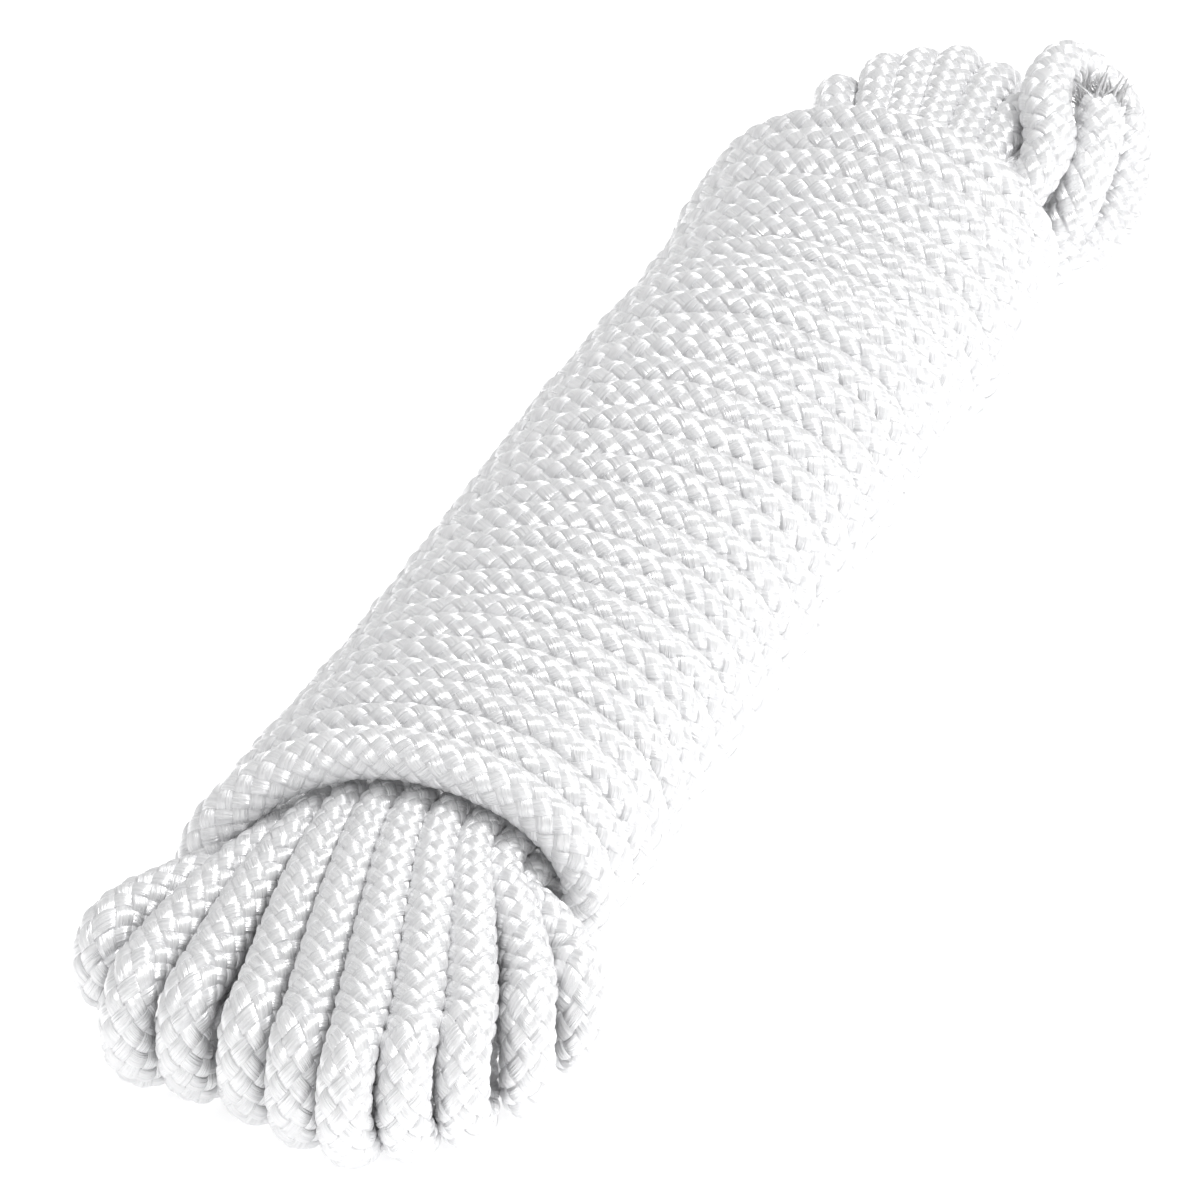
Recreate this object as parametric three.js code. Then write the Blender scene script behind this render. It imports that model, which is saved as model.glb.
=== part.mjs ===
// A hank of braided rope: one rope laid up as ten lengthwise loops (the skein) and then wound
// round them, turn beside turn, from the head of the skein to its tail. Where the loops fold they
// stand out of the winding as bights: a fan of ten at the head, nine small ones and one large
// loop at the tail. The cut end of the rope is tucked up through the large loop.
// Millimetres, +X along the hank from head to tail, +Y to its left, +Z up. The hank lies on the
// flats under its winding, on the surface z = 0.
import * as THREE from 'three';

// ---------------------------------------------------------------- driving dimensions
const LAID = 9.6;             // thickness of a turn of the 10 mm rope, pressed on by its neighbours
const PITCH = 10;             // from one turn of the winding to the next
const TURNS = 29;
const FIRST_TURN_X = -107;    // middle of the first turn
const HEAD_HALF = { width: 37.2, height: 27.2 }; // half size over the winding at its head
const TAIL_HALF = { width: 33.5, height: 24.8 }; // and at its tail
const SIDES = 8;              // sides of a rope section
const TURN_STEPS = 16;        // flats round one turn
const LEG_STEP = 9;           // length of one step along a bight
const MOUTH_DEPTH = 18;       // how far the bights' legs reach into the winding
const GAP = 0.3;              // between pieces that touch
const LEAN_FROM_X = -62;      // the hank is straight up to here,
const LEAN = 0.0278;          // and from here on to the tail it leans this much to the left

// The two mouths of the winding. The legs of the skein stand in each on an oval of this half
// width and height, round a middle this far aside, at the height axis over the surface. outward
// is the way out in x, leg is the thickness of a leg pressed in the mouth, and fold that of a
// bight where it folds.
const HEAD = {
  x: FIRST_TURN_X - LAID / 2, outward: -1,
  aside: 0, axis: 27.2, width: 24, height: 13.5, leg: 4.8, fold: 7.4,
};
const TAIL = {
  x: FIRST_TURN_X + (TURNS - 1) * PITCH + LAID / 2, outward: 1,
  aside: 6, axis: 24.8, width: 20.8, height: 11.8, leg: 4.2, fold: 5.6,
};
const LOOPS = 10;
const FOLD_TURN = 0.6;        // these four shape a bight, as bightRoute and swelling tell
const HALFWAY_RISE = 0.35;
const FOLD_STEPS = 4;
const SWELL_FROM = 0.4;

const group = new THREE.Group();

function add(name, geometry, material) {
  const mesh = new THREE.Mesh(geometry, material);
  mesh.name = name;
  group.add(mesh);
  return mesh;
}

const leanAt = (x) => LEAN * Math.max(x - LEAN_FROM_X, 0);
const numbered = (name, index) => `${name}_${String(index).padStart(2, '0')}`;
const point = (mouth, x, y, z) => new THREE.Vector3(x, y, mouth.axis + z);

// ---------------------------------------------------------------- materials
const braid = () => new THREE.MeshStandardMaterial({ color: 0xf1f2f4, roughness: 0.45, metalness: 0 });
const cutYarn = () => new THREE.MeshStandardMaterial({ color: 0xe9eaee, roughness: 0.7, metalness: 0 });

// ---------------------------------------------------------------- winding
// A turn is a ring of eight-sided section round an oval. The section and the oval both have
// a flat at the bottom, and that flat rests on the surface.
function turnGeometry(halfWidth, halfHeight) {
  const lathed = halfWidth; // radius of the round ring, which the oval below takes the place of
  const radius = LAID / 2 / Math.cos(Math.PI / SIDES);
  const profile = [];
  for (let i = 0; i <= SIDES; i++) {
    const angle = ((i + 0.5) / SIDES) * 2 * Math.PI;
    profile.push(new THREE.Vector2(lathed + radius * Math.cos(angle), radius * Math.sin(angle)));
  }
  const ring = new THREE.LatheGeometry(profile, TURN_STEPS, Math.PI / TURN_STEPS);
  const a = halfWidth - LAID / 2;
  const b = halfHeight - LAID / 2;
  const place = ring.attributes.position;
  for (let i = 0; i < place.count; i++) {
    const out = Math.hypot(place.getX(i), place.getZ(i)) - lathed;
    const angle = Math.atan2(place.getX(i), place.getZ(i));
    const normal = new THREE.Vector2(Math.cos(angle) / a, Math.sin(angle) / b).normalize();
    const y = a * Math.cos(angle) + out * normal.x;
    const z = b * Math.sin(angle) + out * normal.y;
    place.setXYZ(i, place.getY(i), y, z);
  }
  return ring;
}

function winding() {
  for (let k = 0; k < TURNS; k++) {
    const along = k / (TURNS - 1);
    const geometry = turnGeometry(
      THREE.MathUtils.lerp(HEAD_HALF.width, TAIL_HALF.width, along),
      THREE.MathUtils.lerp(HEAD_HALF.height, TAIL_HALF.height, along),
    );
    geometry.computeBoundingBox();
    const turn = add(numbered('winding_turn', k + 1), geometry, braid());
    const x = FIRST_TURN_X + k * PITCH;
    turn.position.set(x, leanAt(x), -geometry.boundingBox.min.z);
  }
}

// ---------------------------------------------------------------- lays of rope
// A stretch of rope along the given points. thickness(u) is its thickness at u from 0 to 1.
function layGeometry(points, thickness) {
  const route = new THREE.CatmullRomCurve3(points, false, 'centripetal');
  const steps = Math.max(3, Math.round(route.getLength() / LEG_STEP));
  const corners = [];
  for (let i = 0; i < SIDES; i++) {
    const angle = (i / SIDES) * 2 * Math.PI;
    corners.push(new THREE.Vector2(Math.cos(angle), Math.sin(angle)));
  }
  const section = new THREE.Shape(corners);
  const lay = new THREE.ExtrudeGeometry(section, { extrudePath: route, steps });
  const middles = route.getSpacedPoints(steps);
  const place = lay.attributes.position;
  const vertex = new THREE.Vector3();
  for (let i = 0; i < place.count; i++) {
    vertex.fromBufferAttribute(place, i);
    const near = middles.reduce((best, middle, j) =>
      (middle.distanceToSquared(vertex) < middles[best].distanceToSquared(vertex) ? j : best), 0);
    vertex.sub(middles[near]).multiplyScalar(thickness(near / steps) / 2).add(middles[near]);
    place.setXYZ(i, vertex.x, vertex.y, vertex.z);
  }
  return lay;
}

// Thin where the winding presses the legs, full over the fold between them. SWELL_FROM is how far
// along a leg, from its inner end at 0 to the fold at 1, it starts to thicken.
const swelling = (mouth) => (u) => {
  const alongLeg = 2 * Math.min(u, 1 - u);
  const swollen = THREE.MathUtils.smoothstep(alongLeg, SWELL_FROM, 1);
  return THREE.MathUtils.lerp(mouth.leg, mouth.fold, swollen);
};

// Where leg number n stands in a mouth, from the right (n = 0) to the left, on the upper
// (side = 1) or the lower (side = -1) half of the oval of legs.
function mouthPlace(mouth, n, side) {
  const half = new THREE.EllipseCurve(0, 0, mouth.width, mouth.height, Math.PI, 0, true);
  const place = half.getPointAt((n + 0.5) / LOOPS);
  return { y: mouth.aside + place.x, z: side * place.y };
}

// ---------------------------------------------------------------- bights
// Each row: where the middle of the fold lies (x, y, z from the skein's middle) and its radius,
// from the right of the fan to the left.
const HEAD_FOLDS = [
  [-120, -34.8, -11, 8],
  [-131.5, -31.5, -12, 10],
  [-145, -26, -12, 10],
  [-152.5, -19, -12, 10],
  [-158, -11, -12, 10],
  [-154, -1, -12, 10],
  [-148.5, 9, -12, 10],
  [-144, 20.5, -12, 10],
  [-142, 30.5, -12, 10],
  [-131, 40, -9, 7],
];
const TAIL_FOLDS = [
  [198, -12.2, -2, 6],
  [206, -7, 2, 8],
  [213, 0.5, 3, 9],
  [215.5, 8.5, 3, 10],
  [212.5, 14.7, 3, 10],
  [208, 19.8, 3, 10],
  [201, 26.6, 1, 9.5],
  [192, 32, -3, 7],
  [187, 36, -6, 6],
];
// The large loop at the tail, from the upper right of the mouth round to the lower right, and
// the end of the rope, which comes out of the mouth and stands up through that loop.
const LARGE_LOOP = [
  [193, -17, 11],
  [203.7, -13, 16.4],
  [217, -13.2, 16.8],
  [220.6, -17.3, 12.4],
  [217, -24, 6],
  [206, -27, -3],
  [191.4, -26, -8],
];
const ROPE_END = [
  [195, -23, 3],
  [204.5, -22.5, 9.5],
  [209.5, -20, 13.5],
];

// The straight stretch of a leg from inside the winding to its mouth.
const legInside = (mouth, { y, z }) => [
  point(mouth, mouth.x - mouth.outward * MOUTH_DEPTH, y, z),
  point(mouth, mouth.x, y, z),
];

// The route of a bight: out of the mouth on one leg, round its fold and back in on the other.
// The fold is turned FOLD_TURN of the way its legs head, and halfway there a leg has come
// HALFWAY_RISE of the way to the fold's height.
function bightRoute(mouth, upper, lower, [x, y, z, radius]) {
  const halfway = (leg, foldZ) =>
    point(mouth, (mouth.x + x) / 2, (leg.y + y) / 2, THREE.MathUtils.lerp(leg.z, foldZ, HALFWAY_RISE));
  const heading = Math.atan2(y - upper.y, Math.abs(x - mouth.x)) * FOLD_TURN;
  const fold = [];
  for (let i = 0; i <= FOLD_STEPS; i++) {
    const angle = Math.PI * (0.5 - i / FOLD_STEPS);
    const out = radius * Math.cos(angle);
    const aside = out * Math.sin(heading);
    const ahead = mouth.outward * out * Math.cos(heading);
    fold.push(point(mouth, x + ahead, y + aside, z + radius * Math.sin(angle)));
  }
  return [
    ...legInside(mouth, upper),
    halfway(upper, z + radius),
    ...fold,
    halfway(lower, z - radius),
    ...legInside(mouth, lower).reverse(),
  ];
}

function headBights() {
  HEAD_FOLDS.forEach((fold, i) => {
    const route = bightRoute(HEAD, mouthPlace(HEAD, i, 1), mouthPlace(HEAD, i, -1), fold);
    add(numbered('head_bight', i + 1), layGeometry(route, swelling(HEAD)), braid());
  });
}

// The large loop has the first place at the tail, so the small bights start at the second.
function tailBights() {
  TAIL_FOLDS.forEach((fold, i) => {
    const route = bightRoute(TAIL, mouthPlace(TAIL, i + 1, 1), mouthPlace(TAIL, i + 1, -1), fold);
    add(numbered('tail_bight', i + 1), layGeometry(route, swelling(TAIL)), braid());
  });
}

function largeLoop() {
  const upper = legInside(TAIL, mouthPlace(TAIL, 0, 1));
  const lower = legInside(TAIL, mouthPlace(TAIL, 0, -1));
  const round = LARGE_LOOP.map((place) => point(TAIL, ...place));
  add('large_tail_loop', layGeometry([...upper, ...round, ...lower.reverse()], swelling(TAIL)), braid());
}

// ---------------------------------------------------------------- end of the rope
function ropeEnd() {
  const route = ROPE_END.map((place) => point(TAIL, ...place));
  add('cut_end', layGeometry(route, () => TAIL.fold), cutYarn());
}

// ---------------------------------------------------------------- skein inside the winding
// The legs of all the loops, pressed together into one oval bundle by the winding.
function skeinLegs() {
  const clearance = LAID + 2 * GAP;
  const outline = new THREE.Shape();
  outline.absellipse(0, 0, TAIL_HALF.width - clearance, TAIL_HALF.height - clearance, 0, 2 * Math.PI);
  const start = HEAD.x + MOUTH_DEPTH + GAP;
  const depth = TAIL.x - MOUTH_DEPTH - GAP - start;
  const steps = Math.round(depth / PITCH);
  const options = { depth, steps, bevelEnabled: false, curveSegments: 12 };
  const bundle = new THREE.ExtrudeGeometry(outline, options);
  bundle.rotateX(Math.PI / 2).rotateZ(Math.PI / 2).translate(start, 0, TAIL.axis);
  const place = bundle.attributes.position;
  for (let i = 0; i < place.count; i++) place.setY(i, place.getY(i) + leanAt(place.getX(i)));
  add('skein_legs', bundle, braid());
}

winding();
headBights();
tailBights();
largeLoop();
ropeEnd();
skeinLegs();

// The origin is under the middle of the hank's box.
const box = new THREE.Box3().setFromObject(group);
group.position.set(-(box.min.x + box.max.x) / 2, -(box.min.y + box.max.y) / 2, 0);

export default group;
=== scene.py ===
"""The finished look of the hank: one braided rope followed from its hidden inner end through the
loops of the skein and the turns of the winding to its cut end.

The rope's route is worked out in millimetres in the hank's own frame, +X from head to tail, +Y to
the left, +Z up, z = 0 under the winding, and set on the CAD model at the end.
"""

import math

import bpy
import numpy as np
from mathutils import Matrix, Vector


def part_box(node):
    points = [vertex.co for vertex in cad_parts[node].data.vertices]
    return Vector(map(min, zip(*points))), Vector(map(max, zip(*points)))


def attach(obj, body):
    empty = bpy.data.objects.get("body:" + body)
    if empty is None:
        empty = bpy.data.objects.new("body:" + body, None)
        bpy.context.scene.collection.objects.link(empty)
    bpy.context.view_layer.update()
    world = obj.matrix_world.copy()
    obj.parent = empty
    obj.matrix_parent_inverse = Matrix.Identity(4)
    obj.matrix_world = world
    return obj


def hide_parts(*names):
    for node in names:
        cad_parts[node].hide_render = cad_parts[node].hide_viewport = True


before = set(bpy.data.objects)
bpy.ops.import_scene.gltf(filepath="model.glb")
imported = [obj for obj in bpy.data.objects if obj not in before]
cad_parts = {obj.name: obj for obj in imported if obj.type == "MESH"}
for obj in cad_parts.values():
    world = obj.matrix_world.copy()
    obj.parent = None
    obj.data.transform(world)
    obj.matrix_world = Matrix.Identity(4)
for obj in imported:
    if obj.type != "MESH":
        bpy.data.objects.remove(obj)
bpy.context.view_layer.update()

# ---------------------------------------------------------------- driving dimensions, mm
MM = 0.001
ROPE = 10.0
LAID = 9.6  # thickness of a turn in the CAD model
PITCH = 10.0
WOUND = 0.94  # thickness of the rope in the winding, as a part of the pitch there
TURNS = 29
FIRST_TURN_X = -107.0
FIRST_TOP_X = -106.0  # of the first turn where it crosses the top of the hank
HEAD_HALF = (37.2, 27.2)  # half width and half height over the winding
TAIL_HALF = (33.5, 24.8)
MOUTH_DEPTH = 18.0  # how far the legs reach straight into the winding
LOOPS = 10
# The two mouths of the winding: the way out in x, the oval that the legs stand on, and how thick
# the rope is in the mouth (leg) and at its folds.
HEAD = dict(
    x=FIRST_TURN_X - LAID / 2,
    out=-1, aside=0.0, axis=27.2, width=24.0, height=13.5, leg=7.2, fold=9.8,
)
TAIL = dict(
    x=FIRST_TURN_X + (TURNS - 1) * PITCH + LAID / 2,
    out=1, aside=6.0, axis=24.8, width=20.8, height=11.8, leg=6.6, fold=9.0,
)
LOOP_THICKNESS = 10.0  # of the rope in the large loop
SKEIN_LEG = 5.6  # of a leg pressed flat inside the winding
END_THICKNESS = 9.6  # of the rope at its cut end
FOLD_TURN = 0.6  # a fold is turned so much of the way its legs head
HALFWAY_RISE = 0.35  # and halfway there a leg has come so much of the way to the fold's height
FOLD_STEPS = 4

# Middle of each fold and its radius, from the right of the fan to the left, as in the CAD.
HEAD_FOLDS = [
    (-120, -34.8, -11, 8),
    (-131.5, -31.5, -12, 10),
    (-145, -26, -12, 10),
    (-152.5, -19, -12, 10),
    (-158, -11, -12, 10),
    (-154, -1, -12, 10),
    (-148.5, 9, -12, 10),
    (-144, 20.5, -12, 10),
    (-142, 30.5, -12, 10),
    (-131, 40, -9, 7),
]
TAIL_FOLDS = [
    (198, -12.2, -2, 6),
    (206, -7, 2, 8),
    (213, 0.5, 3, 9),
    (215.5, 8.5, 3, 10),
    (212.5, 14.7, 3, 10),
    (208, 19.8, 3, 10),
    (201, 26.6, 1, 9.5),
    (192, 32, -3, 7),
    (187, 36, -6, 6),
]
LARGE_LOOP = [
    (193, -17, 11),
    (203.7, -13, 16.4),
    (217, -13.2, 16.8),
    (220.6, -17.3, 12.4),
    (217, -24, 6),
    (206, -27, -3),
    (191.4, -26, -8),
]
# The rope's hidden way from the skein to the start of the winding: mouth, x, y, z, thickness.
TURNED_IN = [(TAIL, 60, 16, 6, SKEIN_LEG), (HEAD, -80, 12, -6, 6.5), (HEAD, -98, 8, -14, 9)]
INNER_END_X = 110  # where the hidden inner end of the rope is
ROPE_END = [(184, -12, -17), (187, -19, -10), (195, -23, 3), (204.5, -23, 9.5), (210, -21.5, 13)]

# The turns aren't quite evenly spread at the top of the hank: they are pushed towards the head over
# its first turns and again over its last ones. Each row: from this turn, to this turn, how far.
PUSHED = [(0, 20, 3.8), (20, 28.5, 3.2)]
TOP = 0.22  # the part of a turn from the hank's left side to where that is so
TURN_STEPS = 170  # points in one turn
LEAN_FROM_X, LEAN = -62.0, 0.0278  # from there on to the tail the hank leans this much to the left
# The winding bulges sideways: at which turn, over how many turns, and how far to each side.
LEFT_BULGE = (28, 2.2, 2.9)
RIGHT_BULGE = (25, 1.8, 3.0)
START = -0.20  # where the winding starts, in turns before the left side of the first one
END = TURNS - 0.32

# ---------------------------------------------------------------- the sheath, mm
STRANDS = 6  # that lie one way, and as many the other way
WALE = 4.0  # from one stitch of the braid to the next along the rope
MIDDLE = 4.05  # radius at which the yarns cross
RISE = 0.4  # of a yarn over and under that radius
WIDTH = 0.96  # of a yarn, where 1 would touch the next one that lies the same way
# A yarn's section, across and out: nearly flat on top, with rounded edges turned down.
SECTION = np.array([
    (-0.95, -0.50), (-0.99, 0.02), (-0.90, 0.30), (-0.52, 0.47), (0.0, 0.52),
    (0.52, 0.47), (0.90, 0.30), (0.99, 0.02), (0.95, -0.50),
])
CORE_RADIUS = 4.2  # of the plain tube under the sheath, which has so many sides and steps so long
CORE_SIDES = 12
CORE_STEP = 3.0
# Steps along a yarn over one period of the braid: over one crossing, then under one.
STEPS = np.array([-0.72, -0.5, -0.25, 0.0, 0.25, 0.5, 0.72, 1.0])

PERIOD = 2  # crossings after which a yarn repeats
# Small differences between the tiles of each yarn: how far out, how tilted and how full.
JITTER = np.random.default_rng(11).normal(0, 1, (2 * STRANDS, 4000, 3))
LIFT, TILT, FULLER = 0.05, 0.07, 0.06
DOMED = 0.85  # 1 for a yarn that rises and falls as a cosine, less for one with a flatter top
YARN_SLANT = 0.78  # length of yarn from crossing to crossing, for each mm of wale
UV_HALF_WIDTH = 1.6  # mm across half a yarn, in its texture coordinates
UV_APART = 7.3  # mm between the texture coordinates of one yarn and the next

# Frayed filaments at the cut end: how many, and the steps along and sides of each.
FRAY_COUNT = 240
FRAY_STEPS = 7
FRAY_SIDES = 5
# The least and the most of a filament's place from the middle, length, thickness, and spread
# for each mm of place. CURL is how far it bends aside.
FRAY_PLACE = (0.5, 4.0)
FRAY_LENGTH = (3.0, 5.5)
FRAY_THICKNESS = (0.22, 0.42)
FRAY_SPREAD = (-0.6, 1.1)
FRAY_CURL = 2.4
FRAY_ROOT = 2.0  # how deep in the rope it starts

rng = np.random.default_rng(7)


# ---------------------------------------------------------------- route of the rope
def spline(points, step=1.0):
    """Points step apart on the centripetal Catmull-Rom curve through rows of x, y, z, thickness."""
    p = np.asarray(points, float)
    p = np.vstack([2 * p[0] - p[1], p, 2 * p[-1] - p[-2]])
    out = []
    for p0, p1, p2, p3 in zip(p, p[1:], p[2:], p[3:]):
        spans = ((p0, p1), (p1, p2), (p2, p3))
        d0, d1, d2 = (max(np.linalg.norm((b - a)[:3]), 1e-6) ** 0.5 for a, b in spans)
        t1 = ((p1 - p0) / d0 - (p2 - p0) / (d0 + d1) + (p2 - p1) / d1) * d1
        t2 = ((p2 - p1) / d1 - (p3 - p1) / (d1 + d2) + (p3 - p2) / d2) * d1
        n = max(2, math.ceil(d1 * d1 / step))
        t = (np.arange(n) / n)[:, None]
        out.append(
            (2 * t**3 - 3 * t**2 + 1) * p1 + (t**3 - 2 * t**2 + t) * t1
            + (3 * t**2 - 2 * t**3) * p2 + (t**3 - t**2) * t2
        )
    return np.vstack([*out, p[-2:-1]])


def mouth_place(mouth, n, side):
    """Where leg n stands in a mouth: equal steps of length along half an ellipse."""
    angle = np.linspace(math.pi, 0, 801)
    y, z = mouth["width"] * np.cos(angle), mouth["height"] * np.sin(angle)
    along = np.concatenate([[0], np.cumsum(np.hypot(np.diff(y), np.diff(z)))])
    at = along[-1] * (n + 0.5) / LOOPS
    return mouth["aside"] + float(np.interp(at, along, y)), side * float(np.interp(at, along, z))


def point(mouth, x, y, z, thick):
    """A control point of the route, with z counted from the mouth's axis."""
    return [x, y, mouth["axis"] + z, thick]


def leg_inside(mouth, place):
    """The straight stretch of a leg from inside the winding to its mouth."""
    y, z = place
    return [
        point(mouth, mouth["x"] - mouth["out"] * MOUTH_DEPTH, y, z, SKEIN_LEG),
        point(mouth, mouth["x"], y, z, mouth["leg"]),
    ]


def bight_route(mouth, upper, lower, fold):
    """Out of the mouth on the upper leg, round the fold and back in on the lower leg."""
    x, y, z, radius = fold
    thick = mouth["fold"]

    def halfway(leg, fold_z):
        return point(
            mouth, (mouth["x"] + x) / 2, (leg[0] + y) / 2, leg[1] + HALFWAY_RISE * (fold_z - leg[1]),
            (mouth["leg"] + thick) / 2,
        )

    heading = math.atan2(y - upper[0], abs(x - mouth["x"])) * FOLD_TURN
    bend = []
    for i in range(FOLD_STEPS + 1):
        angle = math.pi * (0.5 - i / FOLD_STEPS)
        out = radius * math.cos(angle)
        bend.append(point(
            mouth, x + mouth["out"] * out * math.cos(heading), y + out * math.sin(heading),
            z + radius * math.sin(angle), thick,
        ))
    return [
        *leg_inside(mouth, upper), halfway(upper, z + radius), *bend,
        halfway(lower, z - radius), *leg_inside(mouth, lower)[::-1],
    ]


def skein_route():
    """The control points of the skein, and for each named stretch its first and last point."""
    points, named = [], {}

    def lay(name, route):
        named[name] = (len(points), len(points) + len(route) - 1)
        points.extend(route)

    y, z = mouth_place(HEAD, 0, 1)
    points.append(point(TAIL, INNER_END_X, y, z * 0.8, SKEIN_LEG))
    for n in range(LOOPS):
        upper, lower = mouth_place(HEAD, n, 1), mouth_place(HEAD, n, -1)
        lay(f"head_{n + 1:02d}", bight_route(HEAD, upper, lower, HEAD_FOLDS[n]))
        upper, lower = mouth_place(TAIL, n, 1), mouth_place(TAIL, n, -1)
        if n == 0:
            round_ = [point(TAIL, *p, LOOP_THICKNESS) for p in LARGE_LOOP]
            route = [*leg_inside(TAIL, upper), *round_, *leg_inside(TAIL, lower)[::-1]]
            lay("large_loop", route[::-1])
        else:
            lay(f"tail_{n:02d}", bight_route(TAIL, upper, lower, TAIL_FOLDS[n - 1])[::-1])
    return points, named


def top_middle(turn):
    """The x of the rope's middle where that turn, counted from 0, crosses the top of the hank."""
    x = FIRST_TOP_X + PITCH * turn
    for start, end, most in PUSHED:
        part = np.clip((turn - start) / (end - start), 0, 1)
        x = x - most * (1 - np.cos(2 * math.pi * part)) / 2
    return x


def winding_route():
    """Points about 1 mm apart round the winding: it runs left, top, right, under, and on."""
    turn = np.arange(START, END, 1 / TURN_STEPS)
    phi = 2 * math.pi * turn
    x = top_middle(turn - TOP)
    # The rope comes out of the head slanting, and the last turns slant back on the right.
    x -= 9 * ease(turn, 0.25, 0.0)
    x -= 8 * ease(turn, 19, 28) * (1 - np.cos(phi)) / 2
    part = np.clip(turn / (TURNS - 1), 0, 1)
    wide = HEAD_HALF[0] + (TAIL_HALF[0] - HEAD_HALF[0]) * part
    high = HEAD_HALF[1] + (TAIL_HALF[1] - HEAD_HALF[1]) * part
    wander = smooth_noise(len(turn), 60, 0.35) * (0.6 + 0.4 * np.sin(phi))
    lean = LEAN * np.maximum(x - LEAN_FROM_X, 0)
    bulge = swelling(turn, *LEFT_BULGE) * np.maximum(np.cos(phi), 0)
    bulge += swelling(turn, *RIGHT_BULGE) * np.minimum(np.cos(phi), 0)
    y = lean + bulge + (wide - ROPE / 2 + wander) * np.cos(phi)
    z = high + (high - ROPE / 2 + np.minimum(wander, wander * np.sin(phi))) * np.sin(phi)
    x = x + smooth_noise(len(turn), 45, 0.3)
    thick = WOUND * (top_middle(turn - TOP + 0.5) - top_middle(turn - TOP - 0.5))
    return np.stack([x, y, z, thick], 1)


def swelling(turn, middle, width, most):
    """A smooth hump over the turns."""
    return most * np.exp(-(((turn - middle) / width) ** 2))


def ease(value, start, end):
    """0 at start, 1 at end, and smooth between them."""
    t = np.clip((value - start) / (end - start), 0, 1)
    return t * t * (3 - 2 * t)


def smooth_noise(count, width, size):
    """Noise of that size, smooth over about width steps."""
    knots = rng.normal(0, size, count // width + 4)
    at = np.arange(count) / width
    i = at.astype(int)
    t = at - i
    t = t * t * (3 - 2 * t)
    return knots[i] * (1 - t) + knots[i + 1] * t


class Rope:
    """The rope's middle line, with a frame that doesn't twist about it, and its stretches."""

    def __init__(self):
        control, named = skein_route()
        winding = winding_route()
        turned_in = [point(*p) for p in TURNED_IN]
        tail_end = [point(TAIL, *p, END_THICKNESS) for p in ROPE_END]
        first = spline([*control, *turned_in, *winding[:1]])
        lead_out = spline([winding[-1], *tail_end])
        line = np.vstack([first[:-1], winding[:-1], lead_out])
        self.place, self.thick = line[:, :3], line[:, 3]
        step = np.linalg.norm(np.diff(self.place, axis=0), axis=1)
        self.at = np.concatenate([[0], np.cumsum(step)])
        self.length = float(self.at[-1])
        self.winding = (self.at[len(first) - 1], self.at[len(first) + len(winding) - 3])
        knots = self.along(control)
        self.spans = {name: (knots[a], knots[b]) for name, (a, b) in named.items()}
        self.make_frames()

    def along(self, control):
        """How far along the line each control point is, searching forward from the last."""
        window = 600  # points of the line, more than there are from one control point to the next
        found, start = [], 0
        for p in np.asarray(control)[:, :3]:
            near = np.linalg.norm(self.place[start : start + window] - p, axis=1)
            start += int(near.argmin())
            found.append(self.at[start])
        return found

    def make_frames(self):
        """Two directions across the rope at each point, each turned as little as can be from the last."""
        tangent = np.gradient(self.place, self.at, axis=0)
        self.tangent = tangent / np.linalg.norm(tangent, axis=1)[:, None]
        side = np.zeros_like(self.place)
        side[0] = np.cross(self.tangent[0], (0, 0, 1))
        side[0] /= np.linalg.norm(side[0])
        for i in range(1, len(side)):
            s = side[i - 1] - self.tangent[i] * (side[i - 1] @ self.tangent[i])
            side[i] = s / np.linalg.norm(s)
        self.side = side
        self.over = np.cross(self.tangent, side)

    def surface(self, s, theta, radius):
        """Points at those lengths along the rope, angles round it and radii for a 10 mm rope."""
        def at(values):
            return np.stack([np.interp(s, self.at, values[:, k]) for k in range(3)], -1)

        scale = np.interp(s, self.at, self.thick) / ROPE
        out = at(self.side) * np.cos(theta)[..., None] + at(self.over) * np.sin(theta)[..., None]
        return at(self.place) + out * (radius * scale)[..., None]


# ---------------------------------------------------------------- meshes
def to_part(points):
    """Hank millimetres to the part's metres: the first turn says how far the part was shifted."""
    low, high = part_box("winding_turn_01")
    shift = np.array([(low.x + high.x) / 2 / MM - FIRST_TURN_X, (low.y + high.y) / 2 / MM, 0.0])
    return (np.asarray(points) + shift) * MM


def mesh_piece(name, points, faces, uv, material):
    """A smooth mesh of quads. uv has one row per vertex: across a yarn, and along it, in mm."""
    mesh = bpy.data.meshes.new(name)
    mesh.vertices.add(len(points))
    mesh.vertices.foreach_set("co", to_part(points).astype(np.float32).ravel())
    faces = np.asarray(faces, np.int32)
    mesh.loops.add(faces.size)
    mesh.loops.foreach_set("vertex_index", faces.ravel())
    mesh.polygons.add(len(faces))
    mesh.polygons.foreach_set("loop_start", np.arange(0, faces.size, 4, dtype=np.int32))
    mesh.update(calc_edges=True)
    if uv is not None:
        layer = mesh.uv_layers.new(name="yarn")
        layer.data.foreach_set("uv", np.asarray(uv, np.float32)[faces.ravel()].ravel())
    mesh.polygons.foreach_set("use_smooth", np.ones(len(faces), bool))
    mesh.materials.append(material)
    mesh.validate()
    obj = bpy.data.objects.new(name, mesh)
    bpy.context.scene.collection.objects.link(obj)
    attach(obj, "root")
    return obj


def grid_faces(rows, columns, closed=False):
    """Quads between the rows of a grid of vertices."""
    r, c = np.meshgrid(np.arange(rows - 1), np.arange(columns if closed else columns - 1), indexing="ij")
    a, b = r * columns + c, r * columns + (c + 1) % columns
    return np.stack([a, b, b + columns, a + columns], -1).reshape(-1, 4)


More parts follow.
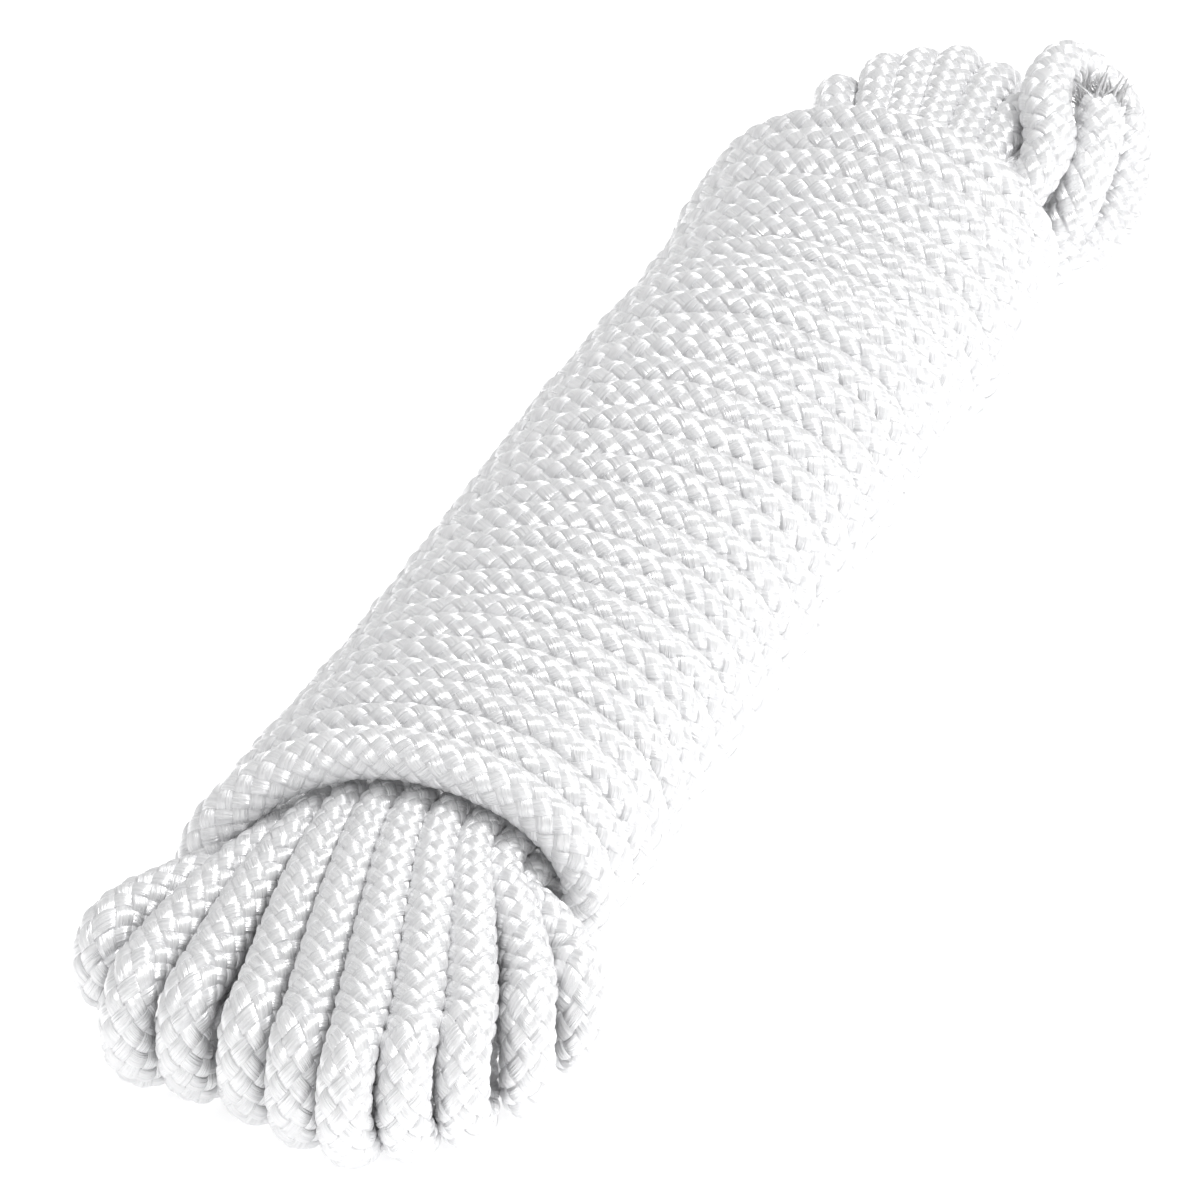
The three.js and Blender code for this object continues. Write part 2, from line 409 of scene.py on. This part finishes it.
def yarn(rope, start, end, index, way):
    """One yarn of the sheath between two lengths along the rope. way is 1 or -1 round it.

    The crossings are a lattice: a yarn of one way keeps a fixed, and goes along b, and the other
    way round. A point of it is at (a + b) / 2 sixths of a turn and (b - a) / 2 wales.
    """
    low, high = (start, end) if way > 0 else (-end, -start)
    first = math.floor(2 * low / WALE + 2 * index)
    last = math.ceil(2 * high / WALE + 2 * index)
    periods = np.arange(first // PERIOD - 1, last // PERIOD + 2)
    q = (periods[:, None] * PERIOD + STEPS).ravel()
    tile = np.repeat(periods, len(STEPS)) % JITTER.shape[1]
    row = index + (STRANDS if way < 0 else 0)
    arch = np.cos(math.pi * np.tile(STEPS, len(periods)))
    window = np.clip(arch, 0, 1)
    shift = 0 if way > 0 else 1
    moving = (q + shift - index)[:, None]
    across = SECTION[:, 0][None]
    fixed = index + 0.5 * WIDTH * across + np.zeros_like(moving)
    moving = moving + np.zeros_like(fixed)
    a, b = (fixed, moving) if way > 0 else (moving, fixed)
    s = (b - a) / 2 * WALE
    middle = s[:, SECTION.shape[0] // 2]
    keep = np.flatnonzero((middle >= start) & (middle < end))
    if len(keep):
        beyond = keep[-1] + 1 if way > 0 else keep[0] - 1
        keep = np.sort(np.append(keep, beyond))
    lift, lean, swell = JITTER[row, tile].T
    radius = (
        MIDDLE + (RISE * np.sign(arch) * np.abs(arch) ** DOMED + LIFT * lift * window)[:, None]
        + SECTION[:, 1][None] * (1 + FULLER * swell * window)[:, None]
        + (TILT * lean * window)[:, None] * across
    )
    theta = 2 * math.pi / STRANDS * (a + b) / 2
    s = np.clip(s, 0, rope.length)
    points = rope.surface(s[keep], theta[keep], radius[keep])
    spacing = WALE * YARN_SLANT
    uv = np.stack([
        (across * UV_HALF_WIDTH + UV_APART * row + np.zeros_like(s))[keep],
        ((q * spacing)[:, None] + np.zeros_like(s))[keep],
    ], -1)
    return points, uv


def sheath(rope, name, spans, material):
    """The braided yarns over these stretches of the rope, as one mesh."""
    points, uvs, faces, count = [], [], [], 0
    for start, end in spans:
        for way, index in ((way, index) for way in (1, -1) for index in range(STRANDS)):
            p, uv = yarn(rope, start, end, index, way)
            rows, columns = p.shape[:2]
            if rows < 2:
                continue
            quads = grid_faces(rows, columns)
            faces.append((quads if way > 0 else quads[:, ::-1]) + count)
            points.append(p.reshape(-1, 3))
            uvs.append(uv.reshape(-1, 2))
            count += rows * columns
    return mesh_piece(name, np.vstack(points), np.vstack(faces), np.vstack(uvs), material)


def core(rope, material):
    """The plain tube under the sheath, along the whole rope."""
    rows = int(rope.length / CORE_STEP)
    s = np.linspace(0, rope.length, rows)
    theta = np.arange(CORE_SIDES) * 2 * math.pi / CORE_SIDES
    grid_s, grid_t = np.meshgrid(s, theta, indexing="ij")
    points = rope.surface(grid_s, grid_t, np.full(grid_s.shape, CORE_RADIUS))
    faces = grid_faces(rows, CORE_SIDES, closed=True)[:, ::-1]
    centres = to_part(rope.surface(s, np.zeros(rows), np.zeros(rows)))
    return mesh_piece("rope_core", points.reshape(-1, 3), faces, None, material), centres


def tuft(rope, material):
    """The frayed yarns at the cut end, as one mesh of short loose filaments."""
    draw = np.random.default_rng(5)
    top, up = rope.place[-1], rope.tangent[-1]
    points, uvs, faces, count = [], [], [], 0
    steps = np.linspace(0, 1, FRAY_STEPS)
    sides = np.arange(FRAY_SIDES) * 2 * math.pi / FRAY_SIDES
    for angle in draw.uniform(0, 2 * math.pi, FRAY_COUNT):
        start = draw.uniform(*FRAY_PLACE)
        out = rope.side[-1] * math.cos(angle) + rope.over[-1] * math.sin(angle)
        root = top + out * start - up * FRAY_ROOT
        reach = draw.uniform(*FRAY_LENGTH)
        spread = draw.uniform(*FRAY_SPREAD) * start
        curl = np.cross(up, out) * draw.normal(0, FRAY_CURL)
        line = root + np.outer(steps, up) * reach + np.outer(steps**2, out * spread + curl)
        thick = draw.uniform(*FRAY_THICKNESS) * (1 - 0.5 * steps**3)
        ring = np.outer(np.cos(sides), out) + np.outer(np.sin(sides), np.cross(up, out))
        p = line[:, None] + ring[None] * thick[:, None, None]
        points.append(p.reshape(-1, 3))
        uv = np.stack(np.broadcast_arrays(sides[None] + 9 * angle, reach * steps[:, None]), -1)
        uvs.append(uv.reshape(-1, 2))
        faces.append(grid_faces(FRAY_STEPS, FRAY_SIDES, closed=True)[:, ::-1] + count)
        count += p.shape[0] * p.shape[1]
    return mesh_piece("cut_end_tuft", np.vstack(points), np.vstack(faces), np.vstack(uvs), material)


# ---------------------------------------------------------------- materials
def node_material(name):
    material = bpy.data.materials.new(name)
    material.use_nodes = True
    nodes = material.node_tree.nodes
    return material, nodes, material.node_tree.links, nodes["Principled BSDF"]


def yarn_material():
    """Bright filament yarn: streaks along each yarn and a little difference from tile to tile. The
    streaks' colour is partly their own tone and partly painted shade: darker and a little blue where
    their bump is low.
    """
    material, nodes, links, shader = node_material("braided_yarn")
    uv = nodes.new("ShaderNodeUVMap")
    uv.uv_map = "yarn"

    def streaks(across, along, detail):
        scale = nodes.new("ShaderNodeMapping")
        scale.inputs["Scale"].default_value = (across, along, 1)
        links.new(uv.outputs["UV"], scale.inputs["Vector"])
        noise = nodes.new("ShaderNodeTexNoise")
        noise.inputs["Scale"].default_value = 1.0
        noise.inputs["Detail"].default_value = detail
        links.new(scale.outputs["Vector"], noise.inputs["Vector"])
        return noise.outputs["Fac"]

    fine = streaks(6.0, 0.15, 2)
    strand = streaks(1.9, 0.09, 3)
    broad = streaks(0.55, 0.3, 1)
    both = nodes.new("ShaderNodeMath")
    both.operation = "MULTIPLY_ADD"
    links.new(fine, both.inputs[0])
    both.inputs[1].default_value = 0.5
    links.new(strand, both.inputs[2])
    bump = nodes.new("ShaderNodeBump")
    bump.inputs["Strength"].default_value = 1.0
    bump.inputs["Distance"].default_value = 0.00045
    links.new(both.outputs[0], bump.inputs["Height"])
    links.new(bump.outputs["Normal"], shader.inputs["Normal"])
    # Painted shade: the base colour goes darker and a little blue in the low grooves of the streak bump,
    # on top of the streaks' own tone.
    streak_tone_and_groove_shade = nodes.new("ShaderNodeValToRGB")
    streak_tone_and_groove_shade.color_ramp.elements[0].position, streak_tone_and_groove_shade.color_ramp.elements[1].position = 0.3, 0.65
    streak_tone_and_groove_shade.color_ramp.elements[0].color = (0.80, 0.803, 0.815, 1)
    streak_tone_and_groove_shade.color_ramp.elements[1].color = (0.95, 0.95, 0.955, 1)
    links.new(strand, streak_tone_and_groove_shade.inputs["Fac"])
    links.new(streak_tone_and_groove_shade.outputs["Color"], shader.inputs["Base Color"])
    rough = nodes.new("ShaderNodeMapRange")
    rough.inputs["To Min"].default_value = 0.3
    rough.inputs["To Max"].default_value = 0.44
    links.new(broad, rough.inputs["Value"])
    links.new(rough.outputs["Result"], shader.inputs["Roughness"])
    shader.inputs["IOR"].default_value = 1.55
    shader.inputs["Specular IOR Level"].default_value = 1.0
    shader.inputs["Anisotropic"].default_value = 0.9
    shader.inputs["Metallic"].default_value = 0.5
    tangent = nodes.new("ShaderNodeTangent")
    tangent.direction_type = "UV_MAP"
    tangent.uv_map = "yarn"
    links.new(tangent.outputs["Tangent"], shader.inputs["Tangent"])
    return material


def plain_material(name, colour, roughness):
    material, nodes, links, shader = node_material(name)
    noise = nodes.new("ShaderNodeTexNoise")
    noise.inputs["Scale"].default_value = 900
    ramp = nodes.new("ShaderNodeValToRGB")
    ramp.color_ramp.elements[0].color = tuple(c * 0.86 for c in colour) + (1,)
    ramp.color_ramp.elements[1].color = tuple(colour) + (1,)
    coordinates = nodes.new("ShaderNodeTexCoord")
    links.new(coordinates.outputs["Object"], noise.inputs["Vector"])
    links.new(noise.outputs["Fac"], ramp.inputs["Fac"])
    links.new(ramp.outputs["Color"], shader.inputs["Base Color"])
    shader.inputs["Roughness"].default_value = roughness
    return material


# ---------------------------------------------------------------- camera, light and floor
CAMERA_TURN, CAMERA_TILT = 70.6, 26.0  # degrees: round the hank, and up from the floor
CAMERA_AWAY = 2.8  # metres
AIM = 2.09  # mm that the camera aims to the left of the hank's middle, and above it
FLOOR_HALF = 4.0  # metres


def camera():
    """Set 2.8 m off, 26 degrees up, over the head of the hank and to its right."""
    turn, up_angle = math.radians(CAMERA_TURN), math.radians(CAMERA_TILT)
    right = Vector((math.cos(turn), -math.sin(turn), 0))
    level = Vector((math.sin(turn), math.cos(turn), 0))
    ahead = level * math.cos(up_angle) - Vector((0, 0, math.sin(up_angle)))
    up = right.cross(ahead)
    middle = Vector(to_part([0, 0, HEAD["axis"]]))
    middle += (up - right) * AIM * MM
    data = bpy.data.cameras.new("camera")
    data.lens = 483
    data.sensor_width = 36
    data.clip_end = 20
    obj = bpy.data.objects.new("camera", data)
    obj.location = middle - ahead * CAMERA_AWAY
    obj.rotation_euler = ahead.to_track_quat("-Z", "Y").to_euler()
    bpy.context.scene.collection.objects.link(obj)
    bpy.context.scene.camera = obj
    return middle, right, ahead


def area_light(name, place, target, size, watts):
    data = bpy.data.lights.new(name, "AREA")
    data.shape = "DISK"
    data.size = size
    data.energy = watts
    obj = bpy.data.objects.new(name, data)
    obj.location = place
    obj.rotation_euler = (target - place).to_track_quat("-Z", "Y").to_euler()
    bpy.context.scene.collection.objects.link(obj)


def studio(middle, right, ahead):
    """A pale floor that glows a little, a key light at the upper right, a weak fill and a white sky."""
    floor = bpy.data.meshes.new("floor")
    h = FLOOR_HALF
    floor.from_pydata([(-h, -h, 0), (h, -h, 0), (h, h, 0), (-h, h, 0)], [], [(0, 1, 2, 3)])
    obj = bpy.data.objects.new("floor", floor)
    bpy.context.scene.collection.objects.link(obj)
    material, _, _, shader = node_material("floor")
    shader.inputs["Base Color"].default_value = (0.93, 0.93, 0.93, 1)
    shader.inputs["Roughness"].default_value = 0.9
    shader.inputs["Emission Color"].default_value = (1, 1, 1, 1)
    shader.inputs["Emission Strength"].default_value = 0.46
    floor.materials.append(material)
    up = Vector((0, 0, 1))
    area_light("key", middle + right * 0.9 + up * 1.2 - ahead * 0.1, middle, 0.5, 16)
    area_light("fill", middle - ahead * 1.4 + up * 0.6, middle, 1.0, 2)
    bpy.context.scene.view_settings.view_transform = "Standard"
    world = bpy.data.worlds.new("studio")
    bpy.context.scene.world = world
    world.use_nodes = True
    world.node_tree.nodes["Background"].inputs["Color"].default_value = (1, 1, 1, 1)
    world.node_tree.nodes["Background"].inputs["Strength"].default_value = 0.66


# ---------------------------------------------------------------- assembly
def build():
    """Every piece of the hank, in stretches of the one rope."""
    rope = Rope()
    print("rope length mm", round(rope.length), "winding", [round(v) for v in rope.winding])
    yarns = yarn_material()
    inside = plain_material("core_yarns", (0.80, 0.80, 0.81), 0.6)
    tube, centres = core(rope, inside)
    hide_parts("skein_legs")
    pieces = []

    def stretch(name, spans, *nodes):
        piece = sheath(rope, name, spans, yarns)
        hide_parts(*nodes)
        pieces.append(piece)

    groups = 10
    edges = np.linspace(*rope.winding, groups + 1)
    turns = np.array_split(np.arange(1, TURNS + 1), groups)
    for g in range(groups):
        nodes = [f"winding_turn_{k:02d}" for k in turns[g]]
        stretch(f"winding_sheath_{g + 1:02d}", [(edges[g], edges[g + 1])], *nodes)
    for n in range(1, LOOPS, 2):
        pair = [n, n + 1]
        spans = [rope.spans[f"head_{k:02d}"] for k in pair]
        nodes = [f"head_bight_{k:02d}" for k in pair]
        stretch(f"head_sheath_{pair[0]:02d}_{pair[1]:02d}", spans, *nodes)
    for n in range(1, LOOPS, 3):
        three = [n, n + 1, n + 2]
        spans = [rope.spans[f"tail_{k:02d}"] for k in three]
        nodes = [f"tail_bight_{k:02d}" for k in three]
        stretch(f"tail_sheath_{three[0]:02d}_{three[-1]:02d}", spans, *nodes)
    stretch("large_loop_sheath", [rope.spans["large_loop"]], "large_tail_loop")
    stretch("end_sheath", [(rope.winding[1], rope.length - 1)], "cut_end")
    frayed = tuft(rope, yarns)
    pieces.append(frayed)
    faces = [len(p.data.polygons) for p in pieces]
    print("pieces", len(pieces), "quads", sum(faces), "most", max(faces))


middle, right, ahead = camera()
build()
studio(middle, right, ahead)
